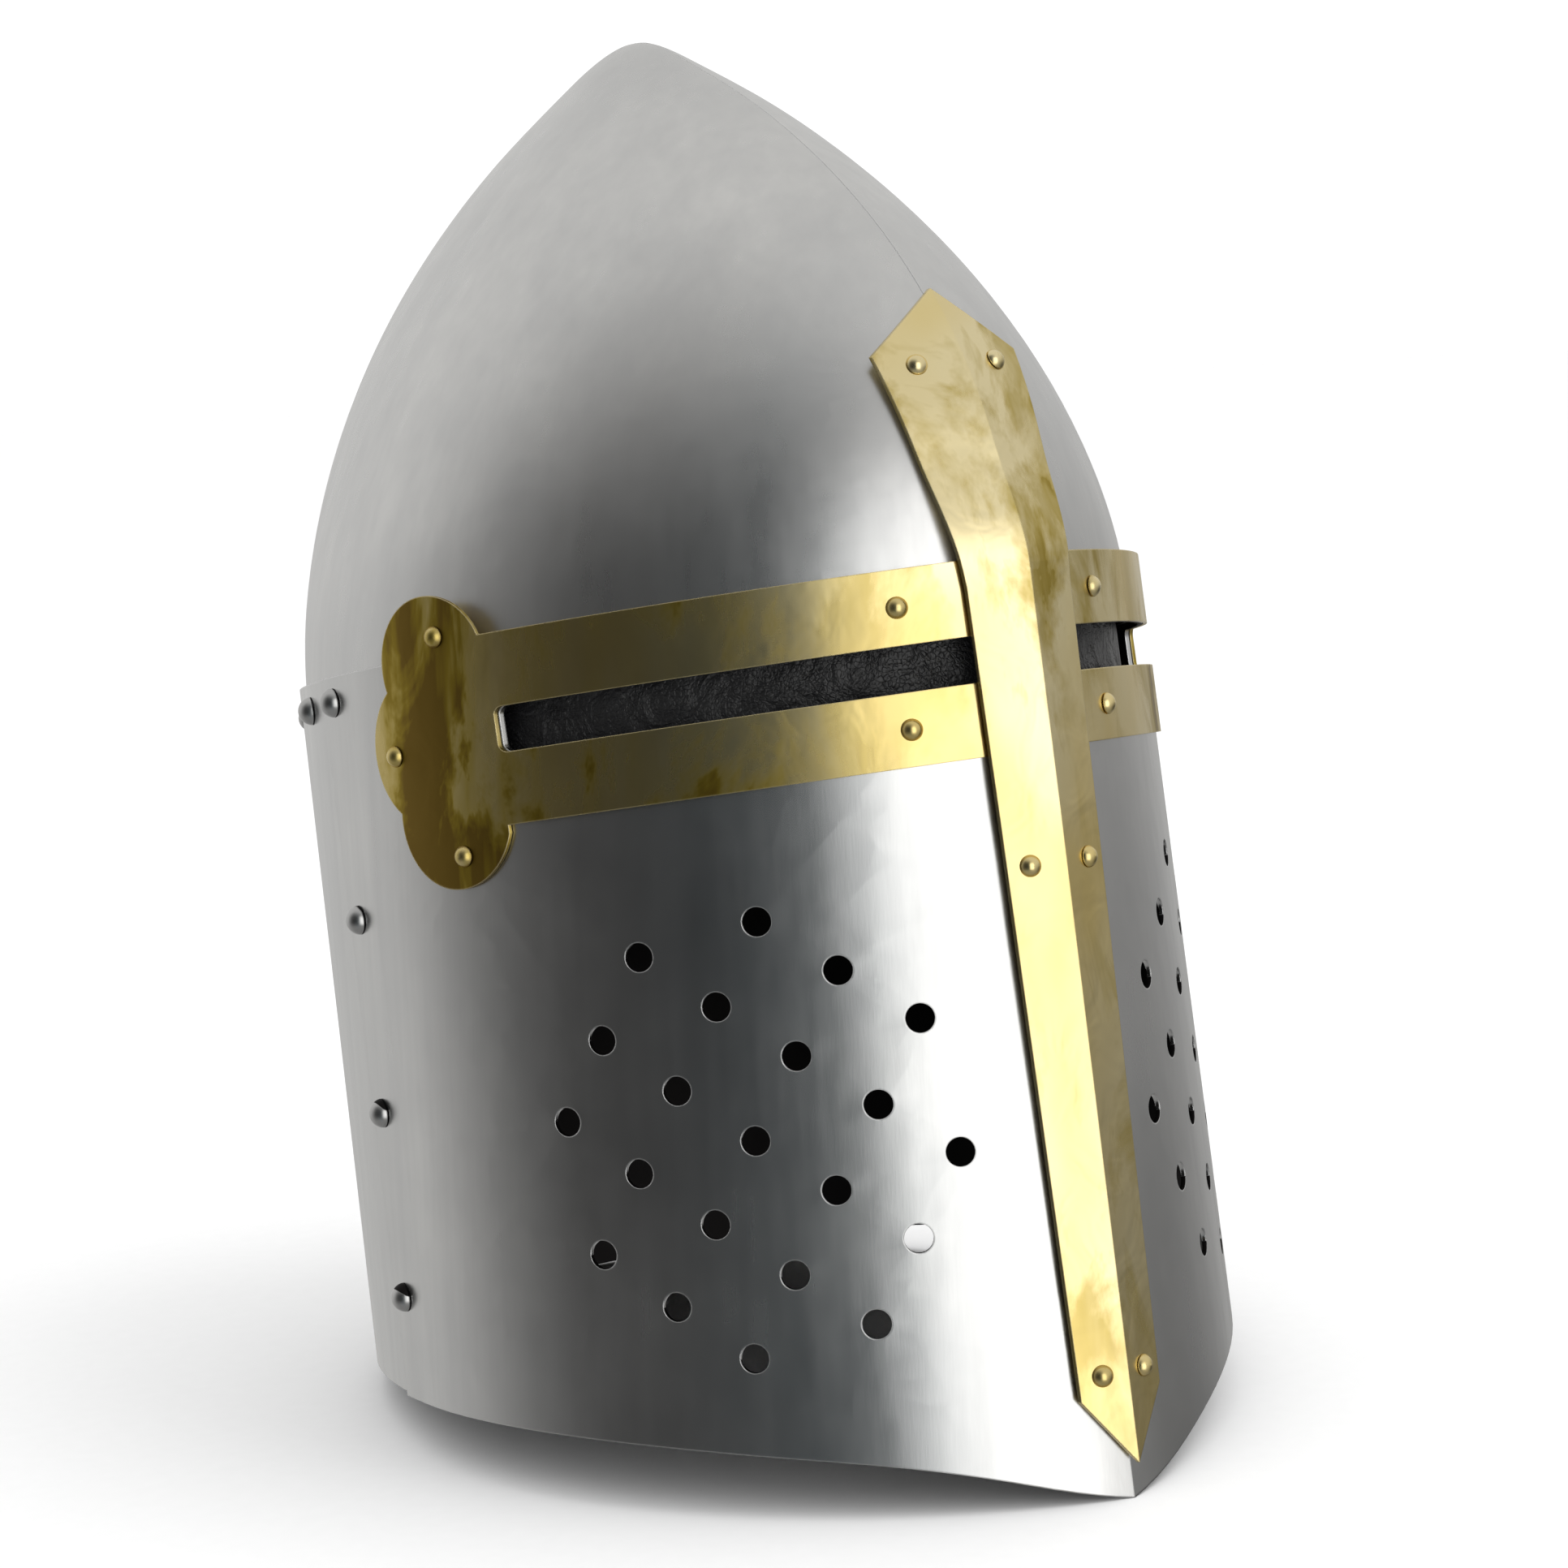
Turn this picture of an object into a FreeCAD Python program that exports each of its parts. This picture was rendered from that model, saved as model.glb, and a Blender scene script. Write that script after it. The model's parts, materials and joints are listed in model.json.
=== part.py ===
import FreeCAD, Part
import math
import os

os.makedirs("parts", exist_ok=True)
V = FreeCAD.Vector

# Sugarloaf great helm, in millimetres. It is drawn with its lower walls upright: -Y is the face, -X is the
# wearer's right and z = 0 is the point of the beak. At the end every piece is leaned back together, so that
# the beak and the rear rim stand on z = 0.

# ---- driving dimensions: the upright wall ----
HALF_WIDTH = 105.0          # centre plane to the outer face at the temples
FRONT_LENGTH = 127.0        # widest line to the keel
REAR_LENGTH = 119.0         # widest line to the back
KEEL_ANGLE = 14.0           # each side of the face falls back from the keel by this many degrees
KEEL_REACH = 60.0           # how far the face stays flat beside the keel
CHEEK_REACH = 50.0          # how far the cheek stays straight before the temple
STEEL = 1.2
LAYER_GAP = 0.3             # between two curved sheets that lie on each other
WIDTH_FLARE = 2.0           # the walls stand this much wider at z = 0 than at the seam
REAR_FLARE = 7.0            # and the back this much further out
BROW_TILT = 1.6             # seam, straps and slits rise to the front by this many degrees

# ---- heights, at the widest line ----
SEAM_Z = 206.5              # top edge of the lower plates
SKULL_SKIRT = 12.6          # how far the skull reaches down inside the lower plates
ROW_DROP = 6.5              # the rivets round the top edge sit this far under it
ROW_Z = SEAM_Z - ROW_DROP
REAR_RIM_Z = 33.5
SIDE_RIM_Z = 32.0
JAW_RIM_Z = 26.5
CHEEK_RIM_Z = 19.3
CHIN_RIM_Z = 8.5
RIM_JAW_Y = -44.0           # where the rim has those heights, from the widest line
RIM_CHEEK_Y = -88.0
RIM_CHIN_Y = -117.0
RIM_SIDE_Y = 20.0

# ---- skull ----
SPRING_Z = ROW_Z            # the skull starts to close above this height
APEX_Z = SEAM_Z + 152.5
APEX_Y = 5.4
SIDE_POWER = 1.75           # a larger power keeps that side of the skull upright for longer
FRONT_POWER = 2.34
REAR_POWER = 4.2
TIP_ROUNDING = 1.08
TIP_BLUNT = 2.2             # the tip's round end stops this far under the point of the curves
TIP_WALL = 1.5              # the wall is this many sheets thick at the tip
SECTION_LEVELS = (0.0, 0.12, 0.26, 0.42, 0.58, 0.73, 0.85, 0.93, 0.975)
SKULL_SEAM = 0.1            # gap between the two halves, closed by the weld

# ---- brass ----
BRASS = 1.0
SLIT_BOTTOM_Z = SEAM_Z - 24.5
SLIT_HEIGHT = 10.4
UPPER_STRAP = 16.9
LOWER_STRAP = 16.5
SLIT_FRONT_X = 11.0
SLIT_END_S = 124.0
SLIT_CORNER = 2.0
STRAP_START_X = 2.5
STRAP_END_S = 128.0
TREFOIL_S = 144.0           # middle of the trefoil along the wall, measured from the keel

# trefoil outline as (distance from the keel along the wall, height over the slit's lower edge): the ends of
# its arcs and their tops
TREFOIL_START = (126.5, 27.5)
TREFOIL_TOP = (139.5, 39.0)
TREFOIL_NOTCH_UP = (157.1, 18.3)
TREFOIL_BACK = (164.2, 4.0)
TREFOIL_NOTCH_LOW = (157.0, -10.0)
TREFOIL_FOOT = (142.5, -28.6)
TREFOIL_END = (124.5, -17.0)

BAR_FOLD = 18.0             # each side of the bar falls back from its ridge by this many degrees
BAR_RIDGE_Y = 131.4         # ridge in front of the widest line, over the straps
BAR_TOE_Y = 130.2           # the same at the lower end
BAR_TOP_GAP = 2.9           # ridge of the bar above the skull's keel, where it lies along the skull
BAR_EASE = 27.0             # height over which it comes down from the straps to the skull
BAR_KNEE_RISE = 4.0         # the bar starts to bend back this far above the seam
BAR_TOP_Z = SEAM_Z + 69.0
BAR_SHOULDER_Z = BAR_TOP_Z - 15.0
BAR_SHOULDER_X = 20.0
BAR_BODY_X = 14.5
BAR_TOE_X = 11.3
BAR_TOE_SHOULDER_Z = 24.0
BAR_TOE_Z = 8.4
BAR_STATIONS = 11           # points that carry the bar's curved part

# ---- breath holes: a lattice on the developed cheek ----
HOLE_D = 6.6
HOLE_FIRST = (68.2, SLIT_BOTTOM_Z - 42.9)
HOLE_STEP = (-16.66, -12.78)
ROW_STEP = (11.45, -17.84)
HOLE_ROWS = ((0, 3), (-1, 4), (-1, 4), (-1, 4), (0, 3))

# ---- rivets ----
STEEL_HEAD_D = 7.0
STEEL_HEAD_H = 3.0
STEEL_SHANK_D = 3.2
BRASS_HEAD_D = 5.0
BRASS_HEAD_H = 1.8
BRASS_SHANK_D = 2.6
TAIL_H = 0.8
TAIL_OVER = 1.2             # tail radius beyond the shank
HOLE_FIT = 0.1              # radial clearance of a rivet in its hole
HEAD_LIFT = 0.2
SEAM_RIVET_S = 185.0
SEAM_RIVET_Z = (ROW_Z, 0.715 * SEAM_Z, 0.489 * SEAM_Z, 0.273 * SEAM_Z)
BACK_RIVET_S = (209.6, 256.0, 304.0)
STRAP_RIVET_S = 29.0
TREFOIL_RIVETS = ((139.4, 29.5), (156.6, 3.4), (138.2, -21.2))
BAR_RIVETS = ((8.2, 143.8), (5.9, 29.0))
BAR_TOP_RIVET = (11.0, BAR_TOP_Z - 19.0)
LAP_REAR = 6.5              # edge of the face plate behind the side rivets
LAP_FRONT = 8.0             # edge of the back plate in front of them

# ---- liner ----
LEATHER = 1.8
BAND_INSET = 6.8            # outer wall face to the band
BAND_TOP_Z = SEAM_Z + 9.5
BAND_FRONT_Z = SEAM_Z - 32.0
BAND_REAR_Z = SEAM_Z - 36.5
TONGUE_GAP = 0.45           # between the band and a tongue's foot
TONGUE_COUNT = 4            # on each side
TONGUE_FIRST_S = 45.0
TONGUE_PITCH_S = 87.0
TONGUE_FOOT = 56.0
TONGUE_FOOT_DROP = 5.5      # the foot reaches this far under the row of rivets
TONGUE_MID_Z = SEAM_Z + 47.5
TONGUE_MID_BLEND = 0.42
TONGUE_TIP_Z = SEAM_Z + 79.5
TONGUE_SLANT = 1.4          # a leaning tongue is this much thicker when it is cut level
CROWN_RADIUS = 27.0
CROWN_Y = -2.0
CASING_LENGTH = 12.0
CASING_BORE = 3.0
LACE_D = 3.0
LACE_KNOT_FIT = 0.35        # between the knot and the casing ends beside it

# ---- chin strap ----
CHIN_RIVET = 1              # which side rivet carries the hanger
HANGER_WIDTH = 26.0
HANGER_PLATE = 1.5
HANGER_FIT = 0.2            # between the flat plate's edges and the curved wall
HANGER_PLATE_H = 12.0
HANGER_BAR_D = 3.0
HANGER_DROP = 16.0
HANGER_STAND = 8.6          # outer wall face to the middle of the bar
STRAP_WIDTH = 18.0
STRAP_T = 2.0
STRAP_LOOP_FIT = 0.3
HANGER_SIDE_FIT = 1.0       # between the strap's edge and the hanger's arm
LONG_STRAP = 96.0
SHORT_STRAP = 40.0
STRAP_HOLES = 5
STRAP_HOLE_PITCH = 12.0
STRAP_HOLE_D = 3.4
BUCKLE_BAR_D = 2.6
BUCKLE_WIDTH = 27.0
BUCKLE_LENGTH = 24.0
PRONG_D = 2.0
PRONG_EYE_W = 4.0
PRONG_WALL = 1.4            # of the eye round the bar
EYE_RISE = 6.0              # the strap's slot for the prong reaches this far over the bar
KEEPER_W = 8.0
KEEPER_T = 1.6
KEEPER_Z = 16.0             # below the hanger bar

# ---- derived ----
KEEL_RAD = math.radians(KEEL_ANGLE)
TILT_TAN = math.tan(math.radians(BROW_TILT))
BACK_INSET = STEEL + LAYER_GAP
SKULL_SIDE_INSET = BACK_INSET + STEEL + LAYER_GAP
SKULL_KEEL_INSET = STEEL + LAYER_GAP
STRAP_TOP_Z = SLIT_BOTTOM_Z + SLIT_HEIGHT + UPPER_STRAP
STRAP_LOW_Z = SLIT_BOTTOM_Z - LOWER_STRAP
BAND_INNER = BAND_INSET + LEATHER
TONGUE_INSET = BAND_INNER + TONGUE_GAP
REAR_RIM_Y = REAR_LENGTH + REAR_FLARE * (1 - REAR_RIM_Z / SEAM_Z) - BACK_INSET
LEAN = math.degrees(math.atan2(REAR_RIM_Z, FRONT_LENGTH + REAR_RIM_Y))
REACH = 400.0               # larger than the helm, for cutting blocks
OVER = 5.0                  # how far a cutting tool runs past what it cuts
ROUND = 0.5523              # handle length that turns a cubic curve into a quarter ellipse


# ---- the wall's plan curve ----
def plan_poles(width, front, rear, middle):
    """Poles of the right side's two cubic curves, for a plan with these half sizes about y = middle."""
    sx = width / HALF_WIDTH
    sy = front / FRONT_LENGTH
    nose = (0.0, middle - front)
    cheek = (-KEEL_REACH * math.cos(KEEL_RAD) * sx, nose[1] + KEEL_REACH * math.sin(KEEL_RAD) * sy)
    temple = (-width, middle)
    front_curve = (nose, cheek, (-width, middle - CHEEK_REACH * sy), temple)
    nape = (0.0, middle + rear)
    rear_curve = (temple, (-width, middle + ROUND * rear), (-ROUND * width, middle + rear), nape)
    return front_curve, rear_curve


def plan_wire(width, front, rear, middle, z):
    edges = []
    for side in (1, -1):
        for poles in plan_poles(width, front, rear, middle):
            curve = Part.BezierCurve()
            curve.setPoles([V(side * x, y, z) for x, y in poles])
            edges.append(curve.toShape())
    return Part.Wire(Part.__sortEdges__(edges))


def flared(z):
    """Half width and rear length of the wall's outer face at this height."""
    share = 1 - z / SEAM_Z
    return HALF_WIDTH + WIDTH_FLARE * share, REAR_LENGTH + REAR_FLARE * share


def wall_wire(inset, z):
    width, rear = flared(z)
    front = FRONT_LENGTH - inset / math.cos(KEEL_RAD)
    return plan_wire(width - inset, front, rear - inset, 0.0, z)


def wall_body(inset, low, high):
    return Part.makeLoft([wall_wire(inset, low), wall_wire(inset, high)], True, True)


def wall_ring(outer, inner, low, high):
    return wall_body(outer, low, high).cut(wall_body(inner, low - OVER, high + OVER))


def cubic(poles, t):
    u = 1 - t
    weights = (u ** 3, 3 * u * u * t, 3 * u * t * t, t ** 3)
    return tuple(sum(w * p[k] for w, p in zip(weights, poles)) for k in (0, 1))


def trace_wall(steps=400):
    """Points of the right side from the keel to the back, with the distance run along the wall."""
    points = []
    for poles in plan_poles(HALF_WIDTH, FRONT_LENGTH, REAR_LENGTH, 0.0):
        points += [cubic(poles, k / steps) for k in range(steps + 1)][1 if points else 0:]
    run = [0.0]
    for a, b in zip(points, points[1:]):
        run.append(run[-1] + math.dist(a, b))
    return points, run


WALL, RUN = trace_wall()


def wall_at(s, inset=0.0, z=SEAM_Z):
    """Point at distance s from the keel at height z, moved in by inset, and the outward direction there."""
    k = min(range(len(RUN) - 1), key=lambda i: abs(0.5 * (RUN[i] + RUN[i + 1]) - s))
    a, b = WALL[k], WALL[k + 1]
    part = (s - RUN[k]) / (RUN[k + 1] - RUN[k])
    along = V(b[0] - a[0], b[1] - a[1], 0).normalize()
    out = V(-along.y, along.x, 0)
    width, rear = flared(z)
    flat_x = (a[0] + part * (b[0] - a[0])) * width / HALF_WIDTH
    flat_y = a[1] + part * (b[1] - a[1])
    if flat_y > 0:
        flat_y *= rear / REAR_LENGTH
    return V(flat_x, flat_y, z) - out * inset, out


# ---- helpers ----
def mirrored(shape):
    return shape.mirror(V(0, 0, 0), V(1, 0, 0))


def both_sides(shapes):
    return list(shapes) + [mirrored(s) for s in shapes]


def tilted_box(x0, x1, y0, y1, z0, z1):
    """Block whose face nearest the seam holds at the widest line and rises to the front with the brow."""
    block = Part.makeBox(x1 - x0, y1 - y0, z1 - z0, V(x0, y0, z0))
    block.rotate(V(0, 0, z1 if z1 < SEAM_Z else z0), V(1, 0, 0), -BROW_TILT)
    return block


def brow_z(z, y):
    return z - y * TILT_TAN


def rod(start, direction, radius, length):
    return Part.makeCylinder(radius, length, start, direction)


def placed(shape, point, direction):
    out = shape.copy()
    out.Placement = FreeCAD.Placement(point, FreeCAD.Rotation(V(0, 0, 1), direction))
    return out


def rivet(head_d, head_h, shank_d, grip):
    """Domed rivet about Z: the head's flat is at z = 0 and the tail starts at -grip."""
    side = head_d / 2
    ball = (side ** 2 + head_h ** 2) / (2 * head_h)
    up = V(0, 0, 1)
    head = Part.makeSphere(ball, V(0, 0, head_h - ball)).common(rod(V(0, 0, 0), up, side + 1, head_h + 1))
    shank = rod(V(0, 0, -grip - TAIL_H / 2), up, shank_d / 2, grip + TAIL_H / 2 + head_h / 2)
    tail = rod(V(0, 0, -grip - TAIL_H), up, shank_d / 2 + TAIL_OVER, TAIL_H)
    return one_solid(head.fuse([shank, tail]).removeSplitter())


RIVETS = {}
DRILLS = []


def set_rivet(node, point, out, outer, inner, brass, single=False):
    """One rivet, or its mirrored pair, through everything between two depths along its direction."""
    head_d, head_h, shank_d = (STEEL_HEAD_D, STEEL_HEAD_H, STEEL_SHANK_D)
    if brass:
        head_d, head_h, shank_d = (BRASS_HEAD_D, BRASS_HEAD_H, BRASS_SHANK_D)
    grip = inner - outer + 2 * HEAD_LIFT
    start = point - out * (outer - HEAD_LIFT)
    body = placed(rivet(head_d, head_h, shank_d, grip), start, out)
    drill = rod(start, out * -1, shank_d / 2 + HOLE_FIT, grip)
    shapes = [body] if single else both_sides([body])
    RIVETS.setdefault(node, []).extend(shapes)
    DRILLS.extend([drill] if single else both_sides([drill]))


def drilled(shape):
    box = shape.BoundBox
    near = [d for d in DRILLS if box.intersect(d.BoundBox)]
    return shape.cut(near) if near else shape


def one_solid(shape):
    solids = sorted(shape.Solids, key=lambda s: s.Volume)
    return solids[-1]


# ---- lower plates ----
def rim_cutter():
    beak_slope = CHIN_RIM_Z / (RIM_CHIN_Y + FRONT_LENGTH)
    rim = ((-FRONT_LENGTH - OVER, -OVER * beak_slope), (-FRONT_LENGTH, 0.0), (RIM_CHIN_Y, CHIN_RIM_Z))
    rim += ((RIM_CHEEK_Y, CHEEK_RIM_Z), (RIM_JAW_Y, JAW_RIM_Z), (RIM_SIDE_Y, SIDE_RIM_Z))
    rim += ((REAR_LENGTH + 2 * REAR_FLARE, REAR_RIM_Z),)
    curve = Part.BSplineCurve()
    curve.interpolate([V(-REACH / 2, y, z) for y, z in rim])
    first, last = curve.StartPoint, curve.EndPoint
    low_last = V(last.x, last.y, -REACH)
    low_first = V(first.x, first.y, -REACH)
    edges = [curve.toShape(), Part.makeLine(last, low_last)]
    edges += [Part.makeLine(low_last, low_first), Part.makeLine(low_first, first)]
    return Part.Face(Part.Wire(edges)).extrude(V(REACH, 0, 0))


def sight_slit():
    end = wall_at(SLIT_END_S)[0].y
    corner = V(-REACH / 2 - SLIT_FRONT_X, end - REACH / 2, SLIT_BOTTOM_Z)
    slit = Part.makeBox(REACH / 2, REACH / 2, SLIT_HEIGHT, corner)
    ends = [e for e in slit.Edges if math.isclose(e.BoundBox.YMin, end) and e.BoundBox.XLength > OVER]
    slit = slit.makeFillet(SLIT_CORNER, ends)
    slit.rotate(V(0, 0, SLIT_BOTTOM_Z), V(1, 0, 0), -BROW_TILT)
    return slit


def breath_holes():
    holes = []
    for row, (first, last) in enumerate(HOLE_ROWS):
        for k in range(first, last):
            s = HOLE_FIRST[0] + k * HOLE_STEP[0] + row * ROW_STEP[0]
            z = HOLE_FIRST[1] + k * HOLE_STEP[1] + row * ROW_STEP[1]
            point, out = wall_at(s, 0, z)
            holes.append(rod(point + out * OVER, out * -1, HOLE_D / 2, STEEL + 2 * OVER))
    return both_sides(holes)


def above_seam():
    return tilted_box(-REACH / 2, REACH / 2, -REACH / 2, REACH / 2, SEAM_Z, SEAM_Z + REACH)


def plate_wall(inset):
    return wall_ring(inset, inset + STEEL, -OVER, SEAM_Z + 4 * OVER)


def face_plate():
    plate = plate_wall(0)
    rear = wall_at(SEAM_RIVET_S)[0].y + LAP_REAR
    behind = Part.makeBox(REACH, REACH, REACH, V(-REACH / 2, rear, -OVER))
    plate = plate.cut([behind, above_seam(), rim_cutter()])
    return drilled(plate.cut(breath_holes() + both_sides([sight_slit()])))


def back_plate():
    plate = plate_wall(BACK_INSET)
    front = wall_at(SEAM_RIVET_S)[0].y - LAP_FRONT
    before = Part.makeBox(REACH, REACH, REACH, V(-REACH / 2, front - REACH, -OVER))
    return drilled(plate.cut([before, above_seam(), rim_cutter()]))


# ---- skull ----
def skull_sizes(level, width, front, rear):
    fall = [(1 - level ** p) ** (1 / TIP_ROUNDING) for p in (SIDE_POWER, FRONT_POWER, REAR_POWER)]
    middle = APEX_Y * level
    slack = APEX_Y * (1 - level)
    return width * fall[0], (front + APEX_Y) * fall[1] - slack, (rear - APEX_Y) * fall[2] + slack, middle


def skull_body(shrink, low, apex):
    width = HALF_WIDTH - SKULL_SIDE_INSET - shrink
    front = FRONT_LENGTH - (SKULL_KEEL_INSET + shrink) / math.cos(KEEL_RAD)
    rear = REAR_LENGTH - SKULL_SIDE_INSET - shrink
    wires = []
    for level in SECTION_LEVELS:
        sizes = skull_sizes(level, width, front, rear)
        wires.append(plan_wire(*sizes, SPRING_Z + level * (apex - SPRING_Z)))
    tip = Part.Vertex(0, APEX_Y, apex - TIP_BLUNT)
    cap = Part.makeLoft(wires + [tip], True, False)
    skirt = Part.Face(plan_wire(width, front, rear, 0.0, low)).extrude(V(0, 0, SPRING_Z - low))
    return cap.fuse(skirt)


def skull_half(shell, side):
    x = -REACH if side < 0 else SKULL_SEAM / 2
    block = Part.makeBox(REACH - SKULL_SEAM / 2, REACH, REACH, V(x, -REACH / 2, 0))
    return one_solid(shell.common(block))


def skull():
    low = SEAM_Z - 2 * SKULL_SKIRT
    inside = skull_body(STEEL, low - OVER, APEX_Z - TIP_WALL * STEEL)
    under = tilted_box(-REACH / 2, REACH / 2, -REACH / 2, REACH / 2, low - REACH, SEAM_Z - SKULL_SKIRT)
    shell = drilled(skull_body(0.0, low, APEX_Z).cut([inside, under]))
    return skull_half(shell, -1), skull_half(shell, 1)


def skull_keel(z):
    """Where the skull's keel is at this height, as a distance in front of the widest line."""
    level = max(0.0, (z - SPRING_Z) / (APEX_Z - SPRING_Z))
    front = FRONT_LENGTH - SKULL_KEEL_INSET / math.cos(KEEL_RAD)
    sizes = skull_sizes(level, HALF_WIDTH, front, REAR_LENGTH)
    return sizes[1] - sizes[3]


# ---- brass cross ----
def trefoil_prism():
    point, out = wall_at(TREFOIL_S)
    along = V(0, 0, 1).cross(out) * -1
    if along.y < 0:
        along = along * -1

    def at(corner):
        flat = point + along * (corner[0] - TREFOIL_S) + out * 3 * OVER
        return V(flat.x, flat.y, SLIT_BOTTOM_Z + corner[1])

    start, end = at(TREFOIL_START), at(TREFOIL_END)
    up, low = at(TREFOIL_NOTCH_UP), at(TREFOIL_NOTCH_LOW)
    edges = [Part.Arc(start, at(TREFOIL_TOP), up).toShape()]
    edges.append(Part.Arc(up, at(TREFOIL_BACK), low).toShape())
    edges.append(Part.Arc(low, at(TREFOIL_FOOT), end).toShape())
    edges.append(Part.makeLine(end, start))
    return Part.Face(Part.Wire(edges)).extrude(out * -6 * OVER)


def sight_frame():
    low = SLIT_BOTTOM_Z + TREFOIL_FOOT[1]
    high = SLIT_BOTTOM_Z + TREFOIL_TOP[1]
    ring = wall_ring(-LAYER_GAP - BRASS, -LAYER_GAP, low - 2 * OVER, high + 2 * OVER)
    end = wall_at(STRAP_END_S)[0].y
    straps = tilted_box(-REACH / 2, -STRAP_START_X, end - REACH, end, STRAP_LOW_Z, STRAP_TOP_Z)
    outline = straps.fuse(trefoil_prism())
    right_half = Part.makeBox(REACH / 2, REACH, REACH, V(-REACH / 2 - STRAP_START_X, -REACH / 2, 0))
    frame = ring.common(right_half).common(outline).cut(sight_slit())
    return one_solid(drilled(frame))


def bar_lift(z):
    """Ridge of the bar above the skull's keel at this height, eased from the straps onto the skull."""
    knee = SEAM_Z + BAR_KNEE_RISE
    share = min(1.0, max(0.0, (z - knee) / BAR_EASE))
    step = BAR_RIDGE_Y - skull_keel(knee) - BAR_TOP_GAP
    return BAR_TOP_GAP + step * (1 + math.cos(math.pi * share)) / 2


def bar_ridge(depth):
    """Points of the ridge line from toe to top, set in by depth."""
    knee = SEAM_Z + BAR_KNEE_RISE
    points = [V(0, -(BAR_TOE_Y - depth), -2 * OVER)]
    points.append(V(0, -(BAR_RIDGE_Y - depth), STRAP_LOW_Z - 2 * OVER))
    points.append(V(0, -(BAR_RIDGE_Y - depth), knee))
    curve = []
    for k in range(BAR_STATIONS):
        z = knee + k * (BAR_TOP_Z + 2 * OVER - knee) / (BAR_STATIONS - 1)
        rise = (skull_keel(z - 1) - skull_keel(z + 1)) / 2
        normal = V(0, -1, rise).normalize()
        base = V(0, -skull_keel(z), z)
        curve.append(base + normal * (bar_lift(z) - depth) if k else points[-1])
    return points, curve


def ridge_edges(depth):
    points, curve = bar_ridge(depth)
    spline = Part.BSplineCurve()
    spline.interpolate(Points=curve, InitialTangent=V(0, 0, 1), FinalTangent=curve[-1] - curve[-2])
    return [Part.makeLine(points[0], points[1]), Part.makeLine(points[1], points[2]), spline.toShape()]


def keel_bar():
    outer = ridge_edges(0.0)
    inner = ridge_edges(BRASS / math.cos(math.radians(BAR_FOLD)))
    toe = Part.makeLine(outer[0].Vertexes[0].Point, inner[0].Vertexes[0].Point)
    top = Part.makeLine(outer[-1].Vertexes[-1].Point, inner[-1].Vertexes[-1].Point)
    profile = Part.Face(Part.Wire(Part.__sortEdges__(outer + inner + [toe, top])))
    wide = BAR_SHOULDER_X + OVER
    half = profile.extrude(V(-wide, wide * math.tan(math.radians(BAR_FOLD)), 0))
    strip = half.fuse(mirrored(half))
    right = ((0, BAR_TOP_Z), (-BAR_SHOULDER_X, BAR_SHOULDER_Z), (-BAR_BODY_X, SEAM_Z))
    right += ((-BAR_TOE_X, BAR_TOE_SHOULDER_Z), (0, BAR_TOE_Z))
    left = [(-x, z) for x, z in right[-2:0:-1]]
    outline = [V(x, -REACH / 2, z) for x, z in list(right) + left]
    cutter = Part.Face(Part.makePolygon(outline + [outline[0]])).extrude(V(0, REACH / 2, 0))
    return one_solid(drilled(strip.common(cutter)))


# ---- rivets of the shell ----
def bar_out():
    fold = math.radians(BAR_FOLD)
    return V(-math.sin(fold), -math.cos(fold), 0)


def liner_depth(s):
    """How deep a rivet at s reaches: through the band, and through a tongue where one is riveted there."""
    depth = BAND_INNER + LAYER_GAP
    for k in range(TONGUE_COUNT):
        if abs(s - TONGUE_FIRST_S - k * TONGUE_PITCH_S) < TONGUE_FOOT / 2:
            depth += TONGUE_GAP + LEATHER
    return depth


def hanger_gap():
    """The plate is flat and the wall is hollow, so the plate's middle stands off by the wall's rise."""
    height = SEAM_RIVET_Z[CHIN_RIVET]
    point, out = wall_at(SEAM_RIVET_S, 0, height)
    edges = [wall_at(SEAM_RIVET_S + side * HANGER_WIDTH / 2, 0, height)[0] for side in (-1, 1)]
    return HANGER_FIT + max((point - edge).dot(out) for edge in edges)


def shell_rivets():
    for k, z in enumerate(SEAM_RIVET_Z):
        point, out = wall_at(SEAM_RIVET_S, 0, z)
        inner = liner_depth(SEAM_RIVET_S) if k == 0 else BACK_INSET + STEEL
        if k == CHIN_RIVET:
            inner = BACK_INSET + STEEL + hanger_gap() + HANGER_PLATE
        set_rivet("side_seam_rivets", point, out, 0, inner, False)
    for s in BACK_RIVET_S:
        point, out = wall_at(s, 0, brow_z(ROW_Z, wall_at(s)[0].y))
        set_rivet("back_seam_rivets", point, out, BACK_INSET, liner_depth(s), False)
    height = brow_z(ROW_Z, REAR_LENGTH)
    back = V(0, flared(height)[1], height)
    set_rivet("back_seam_rivets", back, V(0, 1, 0), BACK_INSET, liner_depth(RUN[-1]), False, single=True)


def brass_rivets():
    top = -LAYER_GAP - BRASS
    upper = STRAP_TOP_Z - UPPER_STRAP / 2
    lower = STRAP_LOW_Z + LOWER_STRAP / 2
    middle = wall_at(STRAP_RIVET_S)[0].y
    for height, inner in ((upper, liner_depth(STRAP_RIVET_S)), (lower, STEEL)):
        point, out = wall_at(STRAP_RIVET_S, 0, brow_z(height, middle))
        set_rivet("sight_strap_rivets", point, out, top, inner, True)
    for k, (s, z) in enumerate(TREFOIL_RIVETS):
        point, out = wall_at(s, 0, SLIT_BOTTOM_Z + z)
        set_rivet("trefoil_rivets", point, out, top, liner_depth(s) if k == 0 else STEEL, True)


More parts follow.
